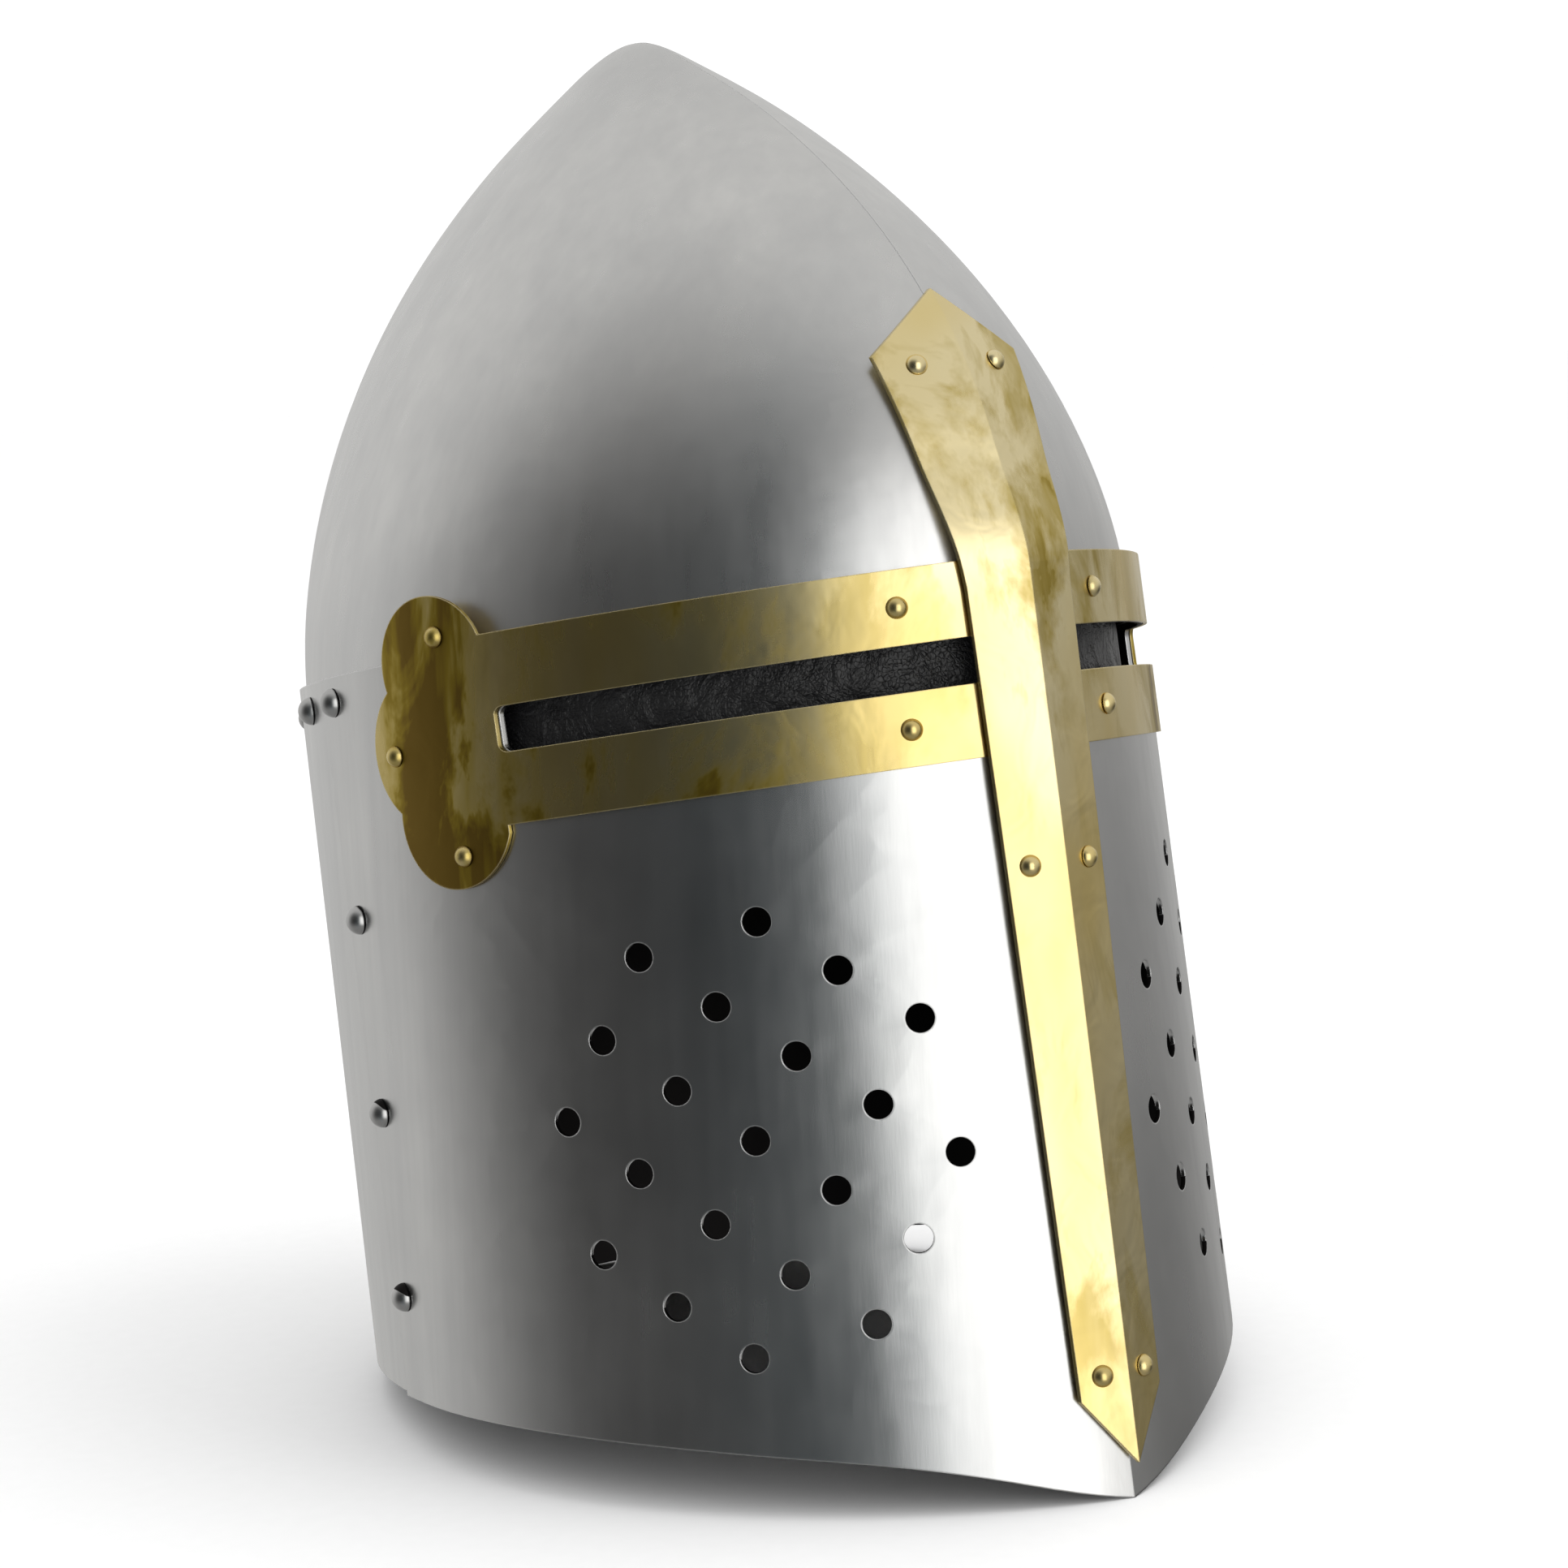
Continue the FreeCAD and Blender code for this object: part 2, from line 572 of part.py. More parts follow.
def bar_rivets():
    fold = math.tan(math.radians(BAR_FOLD))
    for x, z in BAR_RIVETS:
        share = min(1.0, (z + 2 * OVER) / STRAP_LOW_Z)
        ridge = BAR_TOE_Y + share * (BAR_RIDGE_Y - BAR_TOE_Y)
        point = V(-x, -ridge + x * fold, z)
        plate = FRONT_LENGTH - x * math.tan(KEEL_RAD) - STEEL
        set_rivet("keel_bar_rivets", point, bar_out(), 0, -point.y - plate, True)
    x, z = BAR_TOP_RIVET
    rise = (skull_keel(z - 1) - skull_keel(z + 1)) / 2
    out = V(-math.tan(math.radians(BAR_FOLD)), -1, rise).normalize()
    up = V(0, -1, rise).normalize()
    point = V(0, -skull_keel(z), z) + up * bar_lift(z) + V(-x, x * fold, 0)
    set_rivet("keel_bar_rivets", point, out, 0, BAR_TOP_GAP + STEEL + 2 * LAYER_GAP, True)


# ---- liner ----
def liner_headband():
    band = wall_ring(BAND_INSET, BAND_INNER, BAND_REAR_Z - 2 * OVER, BAND_TOP_Z)
    slope = math.degrees(math.atan2(BAND_FRONT_Z - BAND_REAR_Z, FRONT_LENGTH + REAR_LENGTH))
    below = Part.makeBox(REACH, REACH, REACH, V(-REACH / 2, -FRONT_LENGTH, BAND_FRONT_Z - REACH))
    below.rotate(V(0, -FRONT_LENGTH, BAND_FRONT_Z), V(1, 0, 0), -slope)
    return one_solid(drilled(band.cut(below)))


def tongue_points(middle, inset, blend, z):
    """Three points of a tongue's face at one height, between its foot on the band and the crown circle."""
    start = wall_at(middle)[0] - V(0, CROWN_Y, 0)
    angle = math.atan2(start.y, start.x)
    half_turn = CASING_LENGTH / 2 / CROWN_RADIUS
    depth = inset - BAND_INNER
    points = []
    for side in (-1, 0, 1):
        foot = wall_at(middle + side * TONGUE_FOOT / 2, inset)[0]
        turn = angle - side * half_turn
        radius = CROWN_RADIUS - depth
        tip = V(radius * math.cos(turn), CROWN_Y + radius * math.sin(turn), 0)
        flat = foot + (tip - foot) * blend
        points.append(V(flat.x, flat.y, z))
    return points


def tongue_wire(middle, blend, z, wall):
    outer = tongue_points(middle, TONGUE_INSET, blend, z)
    inner = tongue_points(middle, TONGUE_INSET + wall, blend, z)
    edges = [Part.Arc(*outer).toShape(), Part.makeLine(outer[2], inner[2])]
    edges += [Part.Arc(inner[2], inner[1], inner[0]).toShape(), Part.makeLine(inner[0], outer[0])]
    return Part.Wire(edges)


def liner_tongue(middle):
    slant = LEATHER * TONGUE_SLANT
    low = brow_z(ROW_Z, wall_at(middle)[0].y) - TONGUE_FOOT_DROP
    foot = Part.Face(tongue_wire(middle, 0.0, low, LEATHER)).extrude(V(0, 0, BAND_TOP_Z - low))
    wires = [tongue_wire(middle, 0.0, BAND_TOP_Z, LEATHER)]
    wires.append(tongue_wire(middle, TONGUE_MID_BLEND, TONGUE_MID_Z, slant))
    wires.append(tongue_wire(middle, 1.0, TONGUE_TIP_Z, slant))
    blade = Part.makeLoft(wires, True, False)
    tip = tongue_points(middle, TONGUE_INSET + slant / 2, 1.0, TONGUE_TIP_Z)
    along = (tip[2] - tip[0]).normalize()
    start = tip[1] - along * (CASING_LENGTH / 2)
    casing = rod(start, along, CASING_BORE + LEATHER, CASING_LENGTH)
    bore = rod(start - along * OVER, along, CASING_BORE, CASING_LENGTH + 2 * OVER)
    return one_solid(drilled(foot.fuse([blade, casing]).cut(bore)))


def liner_lace():
    tip = tongue_points(TONGUE_FIRST_S, TONGUE_INSET + LEATHER * TONGUE_SLANT / 2, 1.0, TONGUE_TIP_Z)[1]
    sagitta = CASING_LENGTH ** 2 / 8 / CROWN_RADIUS
    radius = math.hypot(tip.x, tip.y - CROWN_Y) - sagitta / 2
    loop = Part.makeTorus(radius, LACE_D / 2, V(0, CROWN_Y, TONGUE_TIP_Z), V(0, 0, 1))
    middle = V(0, CROWN_Y + radius, TONGUE_TIP_Z)
    last = TONGUE_FIRST_S + (TONGUE_COUNT - 1) * TONGUE_PITCH_S
    casing = tongue_points(last, TONGUE_INSET + LEATHER * TONGUE_SLANT / 2, 1.0, TONGUE_TIP_Z)
    along = (casing[2] - casing[0]).normalize()
    room = abs((middle - casing[1]).dot(along)) - CASING_LENGTH / 2
    knot = Part.makeSphere(room - LACE_KNOT_FIT, middle, V(0, 1, 0))
    return loop.fuse(knot)


# ---- chin strap: each half is drawn about its own hinge with +X outward, +Y along the wall and +Z up ----
def hanger():
    plate_x = HANGER_STAND - BACK_INSET - STEEL - hanger_gap() - HANGER_PLATE
    rise = HANGER_DROP - HANGER_PLATE_H / 2
    half = HANGER_WIDTH / 2
    plate = Part.makeBox(HANGER_PLATE, HANGER_WIDTH, HANGER_PLATE_H, V(plate_x, -half, rise))
    arm_y = (HANGER_WIDTH - STRAP_WIDTH) / 2 - HANGER_SIDE_FIT
    arm_x = -HANGER_BAR_D / 2
    arms = []
    for start in (-half, half - arm_y):
        arms.append(Part.makeBox(plate_x + HANGER_PLATE - arm_x, arm_y, rise - arm_x, V(arm_x, start, arm_x)))
    bar = rod(V(0, -half, 0), V(0, 1, 0), HANGER_BAR_D / 2, HANGER_WIDTH)
    start = V(plate_x - OVER, 0, HANGER_DROP)
    bore = rod(start, V(1, 0, 0), STEEL_SHANK_D / 2 + HOLE_FIT, HANGER_PLATE + 2 * OVER)
    return plate.fuse(arms + [bar]).cut(bore)


def strap_loop(bar_d, z):
    inner = bar_d / 2 + STRAP_LOOP_FIT
    return inner, rod(V(0, -STRAP_WIDTH / 2, z), V(0, 1, 0), inner + STRAP_T, STRAP_WIDTH)


def strap_half(length):
    inner, loop = strap_loop(HANGER_BAR_D, 0)
    body = Part.makeBox(STRAP_T, STRAP_WIDTH, length, V(-STRAP_T / 2, -STRAP_WIDTH / 2, -length))
    bore = rod(V(0, -STRAP_WIDTH, 0), V(0, 1, 0), inner, 2 * STRAP_WIDTH)
    return body.fuse(loop).cut(bore)


def chin_strap_long():
    strap = strap_half(LONG_STRAP)
    holes = []
    for k in range(STRAP_HOLES):
        z = -LONG_STRAP + STRAP_WIDTH / 2 + k * STRAP_HOLE_PITCH
        holes.append(rod(V(-OVER, 0, z), V(1, 0, 0), STRAP_HOLE_D / 2, 2 * OVER))
    end = rod(V(-OVER, 0, -LONG_STRAP + STRAP_WIDTH / 2), V(1, 0, 0), STRAP_WIDTH / 2, 2 * OVER)
    corner = Part.makeBox(2 * OVER, STRAP_WIDTH, STRAP_WIDTH / 2, V(-OVER, -STRAP_WIDTH / 2, -LONG_STRAP))
    return strap.cut(holes + [corner.cut(end)])


def chin_strap_short():
    strap = strap_half(SHORT_STRAP)
    inner, loop = strap_loop(BUCKLE_BAR_D, -SHORT_STRAP)
    bore = rod(V(0, -STRAP_WIDTH, -SHORT_STRAP), V(0, 1, 0), inner, 2 * STRAP_WIDTH)
    eye_w = PRONG_EYE_W + 2 * STRAP_LOOP_FIT
    corner = V(-2 * OVER, -eye_w / 2, -SHORT_STRAP - 3 * OVER)
    eye = Part.makeBox(4 * OVER, eye_w, EYE_RISE + 3 * OVER, corner)
    return strap.fuse(loop).cut([bore, eye])


def buckle_frame():
    radius = BUCKLE_BAR_D / 2
    half = BUCKLE_WIDTH / 2 - radius
    low = -SHORT_STRAP - BUCKLE_LENGTH
    bars = [rod(V(0, -half, z), V(0, 1, 0), radius, 2 * half) for z in (-SHORT_STRAP, low)]
    sides = [rod(V(0, y, low), V(0, 0, 1), radius, BUCKLE_LENGTH) for y in (-half, half)]
    balls = [Part.makeSphere(radius, V(0, y, z)) for y in (-half, half) for z in (-SHORT_STRAP, low)]
    return bars[0].fuse([bars[1]] + sides + balls)


def buckle_prong():
    eye_r = BUCKLE_BAR_D / 2 + STRAP_LOOP_FIT
    start = V(0, -PRONG_EYE_W / 2, -SHORT_STRAP)
    eye = rod(start, V(0, 1, 0), eye_r + PRONG_WALL, PRONG_EYE_W)
    rest = BUCKLE_BAR_D / 2 + PRONG_D / 2 + HOLE_FIT
    tip = V(-rest, 0, -SHORT_STRAP - BUCKLE_LENGTH)
    root = V(-eye_r - PRONG_WALL / 2, 0, -SHORT_STRAP)
    run = (tip - root).normalize()
    pin = rod(root, run, PRONG_D / 2, (tip - root).Length + PRONG_D)
    bore = rod(start - V(0, OVER, 0), V(0, 1, 0), eye_r, PRONG_EYE_W + 2 * OVER)
    return eye.fuse(pin).cut(bore)


def strap_keeper():
    blocks = []
    for wall, over in ((LAYER_GAP + KEEPER_T, 0.0), (LAYER_GAP, OVER)):
        half_x = STRAP_T / 2 + wall
        half_y = STRAP_WIDTH / 2 + wall
        corner = V(-half_x, -half_y, -KEEPER_Z - KEEPER_W - over)
        blocks.append(Part.makeBox(2 * half_x, 2 * half_y, KEEPER_W + 2 * over, corner))
    return blocks[0].cut(blocks[1])


def chin_frame():
    """Place of the right hanger's bar: its middle and the wall's outward direction."""
    height = SEAM_RIVET_Z[CHIN_RIVET]
    point, out = wall_at(SEAM_RIVET_S, HANGER_STAND, height)
    return point - V(0, 0, HANGER_DROP), out


def on_right(shape):
    middle, out = chin_frame()
    turned = shape.copy()
    turned.rotate(V(0, 0, 0), V(0, 0, 1), math.degrees(math.atan2(out.y, out.x)))
    turned.translate(middle)
    return turned


# ---- assembly ----
def build():
    shell_rivets()
    brass_rivets()
    bar_rivets()
    pieces = {"face_plate": face_plate(), "back_plate": back_plate()}
    pieces["skull_right_half"], pieces["skull_left_half"] = skull()
    pieces["sight_frame_right"] = sight_frame()
    pieces["sight_frame_left"] = mirrored(pieces["sight_frame_right"])
    pieces["keel_bar"] = keel_bar()
    for node, solids in RIVETS.items():
        pieces[node] = Part.makeCompound(solids)
    pieces["liner_headband"] = liner_headband()
    for k in range(TONGUE_COUNT):
        tongue = liner_tongue(TONGUE_FIRST_S + k * TONGUE_PITCH_S)
        pieces["liner_tongue_right_%d" % (k + 1)] = tongue
        pieces["liner_tongue_left_%d" % (k + 1)] = mirrored(tongue)
    pieces["liner_lace"] = liner_lace()
    pieces["chin_hanger_right"] = on_right(hanger())
    pieces["chin_hanger_left"] = mirrored(pieces["chin_hanger_right"])
    pieces["chin_strap_short"] = on_right(chin_strap_short())
    pieces["chin_strap_long"] = mirrored(on_right(chin_strap_long()))
    pieces["buckle_frame"] = on_right(buckle_frame())
    pieces["buckle_prong"] = on_right(buckle_prong())
    pieces["strap_keeper"] = on_right(strap_keeper())
    return pieces


def stand(pieces):
    """Lean everything back so that beak and rear rim stand on z = 0, and centre it over the origin."""
    for shape in pieces.values():
        shape.rotate(V(0, 0, 0), V(1, 0, 0), -LEAN)
    boxes = [shape.optimalBoundingBox() for shape in pieces.values()]
    low = min(b.ZMin for b in boxes)
    middle = (min(b.YMin for b in boxes) + max(b.YMax for b in boxes)) / 2
    shift = V(0, -middle, -low)
    for shape in pieces.values():
        shape.translate(shift)
    return shift


def standing(point, shift):
    turn = FreeCAD.Rotation(V(1, 0, 0), -LEAN)
    return turn.multVec(point) + shift


pieces = build()
shift = stand(pieces)
for node, shape in pieces.items():
    shape.exportStep("parts/%s.step" % node)
    print("%-24s %2d solids  %9.0f mm3  valid %s" % (node, len(shape.Solids), shape.Volume, shape.isValid()))
hinge, out = chin_frame()
turn = FreeCAD.Rotation(V(1, 0, 0), -LEAN)
print("lean", round(LEAN, 3), "shift", shift)
print("hanger bar", standing(hinge, shift), "axis", turn.multVec(V(-out.y, out.x, 0)))
print("buckle bar", standing(hinge - V(0, 0, SHORT_STRAP), shift))
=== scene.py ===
# %% [markdown]
# # A pointed great helm
# The real object is a steel helm of four plates, with a brass cross riveted over the face, a leather liner
# inside and a chin strap on two hangers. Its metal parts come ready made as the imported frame, and keep their
# shape here. Blender gives them their finish, replaces the leather with softer shapes, and lights the scene.

# %% Load the frame
import json
import math

import bmesh
import bpy
from mathutils import Matrix, Vector


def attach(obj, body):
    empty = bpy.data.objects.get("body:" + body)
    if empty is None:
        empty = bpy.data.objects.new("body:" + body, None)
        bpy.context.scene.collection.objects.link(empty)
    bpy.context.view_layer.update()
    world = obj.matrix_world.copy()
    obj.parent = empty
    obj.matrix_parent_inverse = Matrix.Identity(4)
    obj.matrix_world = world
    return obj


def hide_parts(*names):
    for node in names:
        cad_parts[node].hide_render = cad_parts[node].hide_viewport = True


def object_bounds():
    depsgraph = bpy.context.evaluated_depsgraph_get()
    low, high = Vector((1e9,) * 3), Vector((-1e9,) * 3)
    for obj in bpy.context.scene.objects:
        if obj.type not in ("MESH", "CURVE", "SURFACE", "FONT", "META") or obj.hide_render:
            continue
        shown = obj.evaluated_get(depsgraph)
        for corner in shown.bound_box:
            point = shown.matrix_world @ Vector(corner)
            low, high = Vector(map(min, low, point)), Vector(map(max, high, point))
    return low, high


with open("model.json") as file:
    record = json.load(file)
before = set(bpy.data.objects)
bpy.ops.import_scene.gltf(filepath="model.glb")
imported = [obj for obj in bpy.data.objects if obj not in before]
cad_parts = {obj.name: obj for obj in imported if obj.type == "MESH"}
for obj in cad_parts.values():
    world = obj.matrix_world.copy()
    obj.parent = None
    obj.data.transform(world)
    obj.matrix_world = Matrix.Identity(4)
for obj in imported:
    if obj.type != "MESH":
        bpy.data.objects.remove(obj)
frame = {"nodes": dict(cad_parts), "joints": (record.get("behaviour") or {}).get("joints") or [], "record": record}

nodes = frame["nodes"]
record = frame["record"]
cad_low, cad_high = [tuple(c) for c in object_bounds()]
print("frame box", cad_low, cad_high)

# %% [markdown]
# ## Which way is up for the walls
# The helm stands on its beak and its rear rim, so its walls lean back. The brushing runs along the walls, not
# straight up, and the straps hang about bars that lean with them. The lean could be typed in again, but the
# neck opening's axis in the record already holds it, so it is read from there.

# %% Lean and joints
wall_down = Vector(next(m for m in record["mounts"] if m["name"] == "neck_opening")["axis"]).normalized()
wall_up = -wall_down
lean = math.atan2(wall_up.y, wall_up.z)
joints = {j["name"]: (Vector(j["pos_m"]), Vector(j["axis"]).normalized()) for j in frame["joints"]}
print("walls lean", round(math.degrees(lean), 2), "degrees; joints", sorted(joints))

# %% [markdown]
# ## Node helpers
# A material is a tree of nodes. Adding and linking each one by hand takes four lines, so one helper adds a
# node, sets or links its inputs and returns the output that the next node needs.

# %% Node helpers
def node(tree, kind, inputs=None, out=0, **settings):
    made = tree.nodes.new(kind)
    for key, value in settings.items():
        setattr(made, key, value)
    for key, value in (inputs or {}).items():
        if isinstance(value, bpy.types.NodeSocket):
            tree.links.new(value, made.inputs[key])
        else:
            made.inputs[key].default_value = value
    return made.outputs[out]


def math_node(tree, operation, a, b=0.0):
    return node(tree, "ShaderNodeMath", {0: a, 1: b}, operation=operation)


def span(tree, value, low, high, to_low=0.0, to_high=1.0):
    """value from low..high to to_low..to_high, held at both ends."""
    inputs = {"Value": value, "From Min": low, "From Max": high, "To Min": to_low, "To Max": to_high}
    return node(tree, "ShaderNodeMapRange", inputs)


def blend_colour(tree, share, a, b):
    inputs = {0: share, 6: a, 7: b}
    return node(tree, "ShaderNodeMix", inputs, out=2, data_type="RGBA", blend_type="MIX")


def blend_value(tree, share, a, b):
    return node(tree, "ShaderNodeMix", {0: share, 2: a, 3: b}, data_type="FLOAT")


def noise(tree, place, scale, detail=3.0, roughness=0.5, distortion=0.0):
    inputs = {"Vector": place, "Scale": scale, "Detail": detail}
    inputs.update({"Roughness": roughness, "Distortion": distortion})
    return node(tree, "ShaderNodeTexNoise", inputs)


def along_wall(tree, place, squeeze):
    """Positions turned to the leaning wall and squeezed along it, which draws a noise out into streaks."""
    inputs = {"Vector": place, "Rotation": (lean, 0, 0), "Scale": (1, 1, squeeze)}
    return node(tree, "ShaderNodeMapping", inputs)


def bump(tree, distance, height, under=None, strength=1.0):
    """Raises the surface by height, on top of the relief under it; distance in metres."""
    inputs = {"Strength": strength, "Distance": distance, "Height": height}
    if under is not None:
        inputs["Normal"] = under
    return node(tree, "ShaderNodeBump", inputs)


def new_material(name):
    material = bpy.data.materials.new(name)
    material.use_nodes = True
    tree = material.node_tree
    shader = tree.nodes["Principled BSDF"]
    return material, tree, shader


def grey(value):
    return (value, value, value, 1.0)


# %% [markdown]
# ## Rounded sheet edges
# Cut sheet metal has a fine rounded edge that catches a line of light. Bevelling the plates' dense meshes
# would be heavy and could tear round the holes, so Cycles rounds the shading with its Bevel node. Where that
# rounded normal leaves the true one, the surface is an edge, and the same test paints its colour lighter,
# partly as the polish that wear leaves and partly as a painted highlight.

# %% Edge helpers
edge_samples = 4
head_centre = (Vector(cad_low) + Vector(cad_high)) / 2


def rounded_normal(tree, radius, bumped):
    return node(tree, "ShaderNodeBevel", {"Radius": radius, "Normal": bumped}, samples=edge_samples)


# 1 on the sheet edges. The finishes paint these lighter: partly wear polish, partly a painted highlight.
def edge_wear_and_highlight_share(tree, radius):
    soft = node(tree, "ShaderNodeBevel", {"Radius": radius}, samples=edge_samples)
    true = node(tree, "ShaderNodeNewGeometry", out="Normal")
    same = node(tree, "ShaderNodeVectorMath", {0: soft, 1: true}, out="Value", operation="DOT_PRODUCT")
    return span(tree, same, 0.97, 0.75)


def inner_face(tree, place):
    """1 on the faces that look at the middle of the helm, 0 on those that look away."""
    true = node(tree, "ShaderNodeNewGeometry", out="Normal")
    spoke = node(tree, "ShaderNodeVectorMath", {0: place, 1: head_centre}, operation="SUBTRACT")
    facing = node(tree, "ShaderNodeVectorMath", {0: spoke, 1: true}, out="Value", operation="DOT_PRODUCT")
    return span(tree, facing, 0.0, -0.006)


# %% [markdown]
# ## Brushed steel
# The plates were sanded along the wall, which leaves fine grooves from top to rim, a few broader streaks, and
# faint cloudy patches where the belt pressed harder. Three noises drawn out along the wall give the grooves,
# streaks and broad bands, and a plain one the clouds. The inside was never sanded and is dark with scale,
# and it is painted near black as well, as painted shade inside the helm.

# %% Steel
def make_steel(name, shade, gloss, groove, wave):
    material, tree, shader = new_material(name)
    place = node(tree, "ShaderNodeTexCoord", out="Object")
    grooves = noise(tree, along_wall(tree, place, 0.012), 1900.0, 3.0, 0.6)
    streaks = noise(tree, along_wall(tree, place, 0.05), 260.0, 4.0, 0.55)
    clouds = noise(tree, place, 16.0, 4.0, 0.6)
    bands = noise(tree, along_wall(tree, place, 0.10), 75.0, 3.0, 0.5)
    inside = inner_face(tree, place)
    edge = edge_wear_and_highlight_share(tree, 0.0007)

    pale = [c * shade for c in (1.0, 0.995, 0.975)] + [1.0]
    deep = [c * shade * 0.86 for c in (1.0, 1.0, 0.99)] + [1.0]
    skin = blend_colour(tree, span(tree, clouds, 0.35, 0.68), deep, pale)
    skin = blend_colour(tree, span(tree, bands, 0.35, 0.75, 0.0, 0.4), skin, grey(shade * 0.80))
    skin = blend_colour(tree, span(tree, streaks, 0.3, 0.75, 0.0, 0.25), skin, grey(shade * 0.76))
    # Edges painted lighter: partly the polish of wear, partly a painted highlight along the edge.
    skin = blend_colour(tree, edge, skin, grey(0.86))
    # Inner faces: dark scale, and also painted near black as painted shade inside the helm.
    scale = blend_colour(tree, clouds, (0.010, 0.010, 0.011, 1.0), (0.030, 0.027, 0.026, 1.0))
    tree.links.new(blend_colour(tree, inside, skin, scale), shader.inputs["Base Color"])

    rough = span(tree, streaks, 0.25, 0.75, gloss - 0.02, gloss + 0.03)
    rough = math_node(tree, "ADD", rough, span(tree, bands, 0.3, 0.7, -0.02, 0.03))
    rough = math_node(tree, "ADD", rough, span(tree, clouds, 0.3, 0.7, -0.02, 0.03))
    tree.links.new(blend_value(tree, inside, rough, 0.6), shader.inputs["Roughness"])

    dents = noise(tree, place, 22.0, 2.0)
    relief = bump(tree, wave, dents)
    relief = bump(tree, groove * 2, streaks, relief)
    relief = bump(tree, groove, grooves, relief)
    tree.links.new(rounded_normal(tree, 0.0005, relief), shader.inputs["Normal"])
    shader.inputs["Metallic"].default_value = 1.0
    return material


plate_steel = make_steel("brushed_plate_steel", 0.76, 0.22, 0.000004, 0.00010)
skull_steel = make_steel("brushed_skull_steel", 0.76, 0.28, 0.000002, 0.00010)
rivet_steel = make_steel("rivet_steel", 0.58, 0.22, 0.000003, 0.00004)
print("steel finishes", plate_steel.name, skull_steel.name, rivet_steel.name)

# %% [markdown]
# ## Brass with patchy tarnish
# Thin brass sheet was cut, polished by hand and then handled. It is pale and bright where the polish lasted,
# and turns olive and brown in cloudy patches, mostly towards the trefoil ends. Three noises place the stain,
# the distance from the keel strengthens it at the ends, and small creases bend the gloss.

# %% Brass
def make_brass(name, stain_at_ends, crease):
    material, tree, shader = new_material(name)
    place = node(tree, "ShaderNodeTexCoord", out="Object")
    upright = along_wall(tree, place, 0.45)
    clouds = noise(tree, upright, 42.0, 5.0, 0.62, 0.5)
    blots = noise(tree, upright, 17.0, 3.0, 0.5, 0.3)
    drips = noise(tree, along_wall(tree, place, 0.12), 150.0, 3.0)
    edge = edge_wear_and_highlight_share(tree, 0.0006)

    aside = node(tree, "ShaderNodeSeparateXYZ", {0: place}, out="X")
    far = span(tree, math_node(tree, "ABSOLUTE", aside), 0.045, 0.095, 0.0, stain_at_ends)
    stain = math_node(tree, "ADD", span(tree, clouds, 0.46, 0.60, 0.0, 0.80), far)
    stain = math_node(tree, "MULTIPLY", stain, span(tree, blots, 0.36, 0.58, 0.20, 1.1))
    stain = math_node(tree, "MULTIPLY", stain, span(tree, drips, 0.30, 0.65, 0.55, 1.1))

    polish = span(tree, blots, 0.4, 0.6)
    bright = blend_colour(tree, polish, (0.84, 0.66, 0.27, 1.0), (0.92, 0.79, 0.46, 1.0))
    olive = blend_colour(tree, drips, (0.36, 0.26, 0.022, 1.0), (0.56, 0.41, 0.055, 1.0))
    skin = blend_colour(tree, stain, bright, olive)
    skin = blend_colour(tree, span(tree, stain, 0.8, 1.3, 0.0, 0.8), skin, (0.16, 0.09, 0.02, 1.0))
    # Edges painted lighter: partly the polish of wear, partly a painted highlight along the edge.
    skin = blend_colour(tree, edge, skin, (0.97, 0.83, 0.48, 1.0))
    tree.links.new(skin, shader.inputs["Base Color"])

    rough = blend_value(tree, stain, 0.20, 0.34)
    rough = math_node(tree, "ADD", rough, span(tree, clouds, 0.3, 0.7, -0.03, 0.05))
    tree.links.new(rough, shader.inputs["Roughness"])

    folds = noise(tree, place, 70.0, 2.0, 0.5, 1.2)
    relief = bump(tree, crease, folds)
    relief = bump(tree, 0.000008, drips, relief)
    tree.links.new(rounded_normal(tree, 0.0004, relief), shader.inputs["Normal"])
    shader.inputs["Metallic"].default_value = 1.0
    return material


bar_brass = make_brass("bar_brass", 0.0, 0.00016)
strap_brass = make_brass("sight_frame_brass", 0.75, 0.00008)
rivet_brass = make_brass("rivet_brass", 0.1, 0.00005)
print("brass finishes", bar_brass.name, strap_brass.name, rivet_brass.name)

# %% [markdown]
# ## Leather and lace
# The liner is black leather that has creased in use, and the chin strap is thicker brown leather with waxed
# faces. Leather grain is a net of small cells, which is what a Voronoi texture gives, with a slow noise over
# it for creases, paler where they rub. The lace is a lighter brown leather cut round.

# %% Leather
def make_leather(name, dark, light, grain, crease, gloss):
    material, tree, shader = new_material(name)
    place = node(tree, "ShaderNodeTexCoord", out="Object")
    net = {"Vector": place, "Scale": grain}
    cells = node(tree, "ShaderNodeTexVoronoi", net, feature="DISTANCE_TO_EDGE")
    creases = noise(tree, place, 85.0, 4.0, 0.6, 1.5)
    wear = noise(tree, place, 30.0, 3.0, 0.6)
    skin = blend_colour(tree, span(tree, wear, 0.35, 0.7), dark, light)
    skin = blend_colour(tree, span(tree, cells, 0.10, 0.0, 0.0, 0.6), skin, dark)
    rubbed = [c * 2.2 for c in light[:3]] + [1.0]
    skin = blend_colour(tree, span(tree, creases, 0.62, 0.75, 0.0, 0.5), skin, rubbed)
    tree.links.new(skin, shader.inputs["Base Color"])
    tree.links.new(span(tree, wear, 0.3, 0.7, gloss, gloss + 0.2), shader.inputs["Roughness"])
    relief = bump(tree, crease, creases)
    relief = bump(tree, 0.00012, span(tree, cells, 0.0, 0.18), relief, 0.6)
    tree.links.new(relief, shader.inputs["Normal"])
    return material


